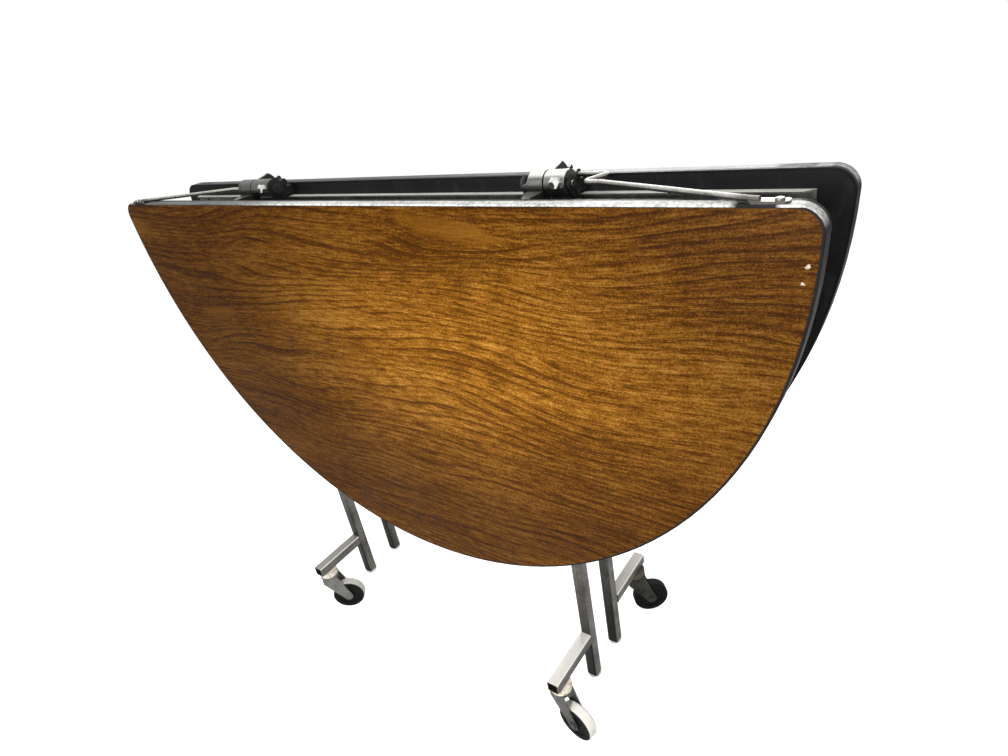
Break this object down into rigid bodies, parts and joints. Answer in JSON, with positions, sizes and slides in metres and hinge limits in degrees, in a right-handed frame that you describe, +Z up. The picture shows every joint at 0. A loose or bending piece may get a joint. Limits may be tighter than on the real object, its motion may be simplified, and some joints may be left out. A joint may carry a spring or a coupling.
{
  "type": "room service table",
  "caption": "Folding round table on swivel casters: two half-round tops fold up on a centre hinge while its leg frames spread onto glides.",
  "frame": {"origin": "on the floor, in the middle of the base: half-way between the two halves and between the left and right legs", "axes": "+X along the straight edges, +Y from the front half to the rear half, +Z up"},
  "size_m": [1.066, 0.2917, 0.7576],
  "materials": {
    "laminate": "satin wood-grain laminate, worn",
    "board": "black backing sheet",
    "edge_band": "black band scuffed to grey",
    "rail_steel": "zinc plated, dull",
    "casting": "bare casting, dull",
    "bolt_steel": "plated steel",
    "spring_steel": "dark worn rod",
    "black_steel": "black paint",
    "tube_steel": "tarnished satin tube",
    "glide_plastic": "white plastic",
    "cup_paint": "yellowed, a little rust",
    "fork_zinc": "zinc plated",
    "wheel_rubber": "black, dusty tread"
  },
  "bodies": {
    "centre_frame": {"hinge_plate_right": "black_steel", "hinge_plate_left": "black_steel", "centre_beam": "black_steel", "rear_pivot_rod": "bolt_steel", "front_pivot_rod": "bolt_steel"},
    "front_top": {"front_board": "board", "front_laminate": "laminate", "front_edge_band": "edge_band", "front_rail": "rail_steel", "front_screws": "bolt_steel", "front_casting_right": "casting", "front_casting_left": "casting", "rod_shaft_right": "spring_steel", "rod_shaft_left": "spring_steel"},
    "rear_top": {"rear_board": "board", "rear_laminate": "laminate", "rear_edge_band": "edge_band", "rear_rail": "rail_steel", "rear_screws": "bolt_steel", "catch_plate": "rail_steel", "rear_casting_right": "casting", "rear_casting_left": "casting", "set_bolt_right": "bolt_steel", "set_bolt_left": "bolt_steel", "hinge_pin_right": "bolt_steel", "hinge_pin_left": "bolt_steel", "rod_arm_right": "spring_steel", "rod_arm_left": "spring_steel"},
    "front_link": {"front_link": "black_steel"},
    "rear_link": {"rear_link": "black_steel"},
    "front_legs": {"front_leg_left": "tube_steel", "front_leg_right": "tube_steel", "front_glide_left": "glide_plastic", "front_glide_right": "glide_plastic", "front_arm_left": "tube_steel", "front_arm_right": "tube_steel", "front_crossbar": "tube_steel", "front_spreader_rod": "bolt_steel", "front_left_stem": "cup_paint", "front_right_stem": "cup_paint"},
    "rear_legs": {"rear_leg_left": "tube_steel", "rear_leg_right": "tube_steel", "rear_glide_left": "glide_plastic", "rear_glide_right": "glide_plastic", "rear_arm_left": "tube_steel", "rear_arm_right": "tube_steel", "rear_crossbar": "tube_steel", "rear_spreader_rod": "bolt_steel", "rear_left_stem": "cup_paint", "rear_right_stem": "cup_paint"},
    "front_left_fork": {"front_left_fork": "fork_zinc"},
    "front_left_wheel": {"front_left_wheel": "wheel_rubber"},
    "front_right_fork": {"front_right_fork": "fork_zinc"},
    "front_right_wheel": {"front_right_wheel": "wheel_rubber"},
    "rear_left_fork": {"rear_left_fork": "fork_zinc"},
    "rear_left_wheel": {"rear_left_wheel": "wheel_rubber"},
    "rear_right_fork": {"rear_right_fork": "fork_zinc"},
    "rear_right_wheel": {"rear_right_wheel": "wheel_rubber"}
  },
  "joints": [
    {"name": "front_top_fold", "type": "hinge", "parent": "centre_frame", "child": "front_top", "pos_m": [0, 0, 0.7398], "axis": [-1, 0, 0], "range_deg": [0, 90]},
    {"name": "rear_top_fold", "type": "hinge", "parent": "centre_frame", "child": "rear_top", "pos_m": [0, 0, 0.7398], "axis": [1, 0, 0], "range_deg": [0, 90]},
    {"name": "front_legs_spread", "type": "hinge", "parent": "centre_frame", "child": "front_legs", "pos_m": [0, -0.034, 0.695], "axis": [-1, 0, 0], "range_deg": [0, 20]},
    {"name": "rear_legs_spread", "type": "hinge", "parent": "centre_frame", "child": "rear_legs", "pos_m": [0, 0.034, 0.695], "axis": [1, 0, 0], "range_deg": [0, 20]},
    {"name": "front_link_tilt", "type": "hinge", "parent": "front_legs", "child": "front_link", "pos_m": [-0.283, -0.034, 0.635], "axis": [-1, 0, 0], "range_deg": [-10.63, 0]},
    {"name": "rear_link_tilt", "type": "hinge", "parent": "rear_legs", "child": "rear_link", "pos_m": [0.283, 0.034, 0.635], "axis": [1, 0, 0], "range_deg": [-10.63, 0]},
    {"name": "front_left_swivel", "type": "hinge", "parent": "front_legs", "child": "front_left_fork", "pos_m": [-0.2444, -0.1175, 0.08], "axis": [0, 0, 1], "continuous": true},
    {"name": "front_left_roll", "type": "hinge", "parent": "front_left_fork", "child": "front_left_wheel", "pos_m": [-0.22755, -0.10336, 0.028], "axis": [-0.6428, 0.766, 0], "continuous": true},
    {"name": "front_right_swivel", "type": "hinge", "parent": "front_legs", "child": "front_right_fork", "pos_m": [0.2444, -0.1175, 0.08], "axis": [0, 0, 1], "continuous": true},
    {"name": "front_right_roll", "type": "hinge", "parent": "front_right_fork", "child": "front_right_wheel", "pos_m": [0.26607, -0.12132, 0.028], "axis": [0.1736, 0.9848, 0], "continuous": true},
    {"name": "rear_left_swivel", "type": "hinge", "parent": "rear_legs", "child": "rear_left_fork", "pos_m": [-0.2444, 0.1175, 0.08], "axis": [0, 0, 1], "continuous": true},
    {"name": "rear_left_roll", "type": "hinge", "parent": "rear_left_fork", "child": "rear_left_wheel", "pos_m": [-0.22373, 0.12502, 0.028], "axis": [-0.342, 0.9397, 0], "continuous": true},
    {"name": "rear_right_swivel", "type": "hinge", "parent": "rear_legs", "child": "rear_right_fork", "pos_m": [0.2444, 0.1175, 0.08], "axis": [0, 0, 1], "continuous": true},
    {"name": "rear_right_roll", "type": "hinge", "parent": "rear_right_fork", "child": "rear_right_wheel", "pos_m": [0.26075, 0.13222, 0.028], "axis": [-0.6691, 0.7431, 0], "continuous": true}
  ],
  "couplings": [
    {"joint": "rear_top_fold", "follows": "front_top_fold", "ratio": 1},
    {"joint": "front_legs_spread", "follows": "front_top_fold", "ratio": 0.2222},
    {"joint": "rear_legs_spread", "follows": "front_top_fold", "ratio": 0.2222},
    {"joint": "front_link_tilt", "follows": "front_top_fold", "ratio": -0.1181},
    {"joint": "rear_link_tilt", "follows": "front_top_fold", "ratio": -0.1181}
  ]
}
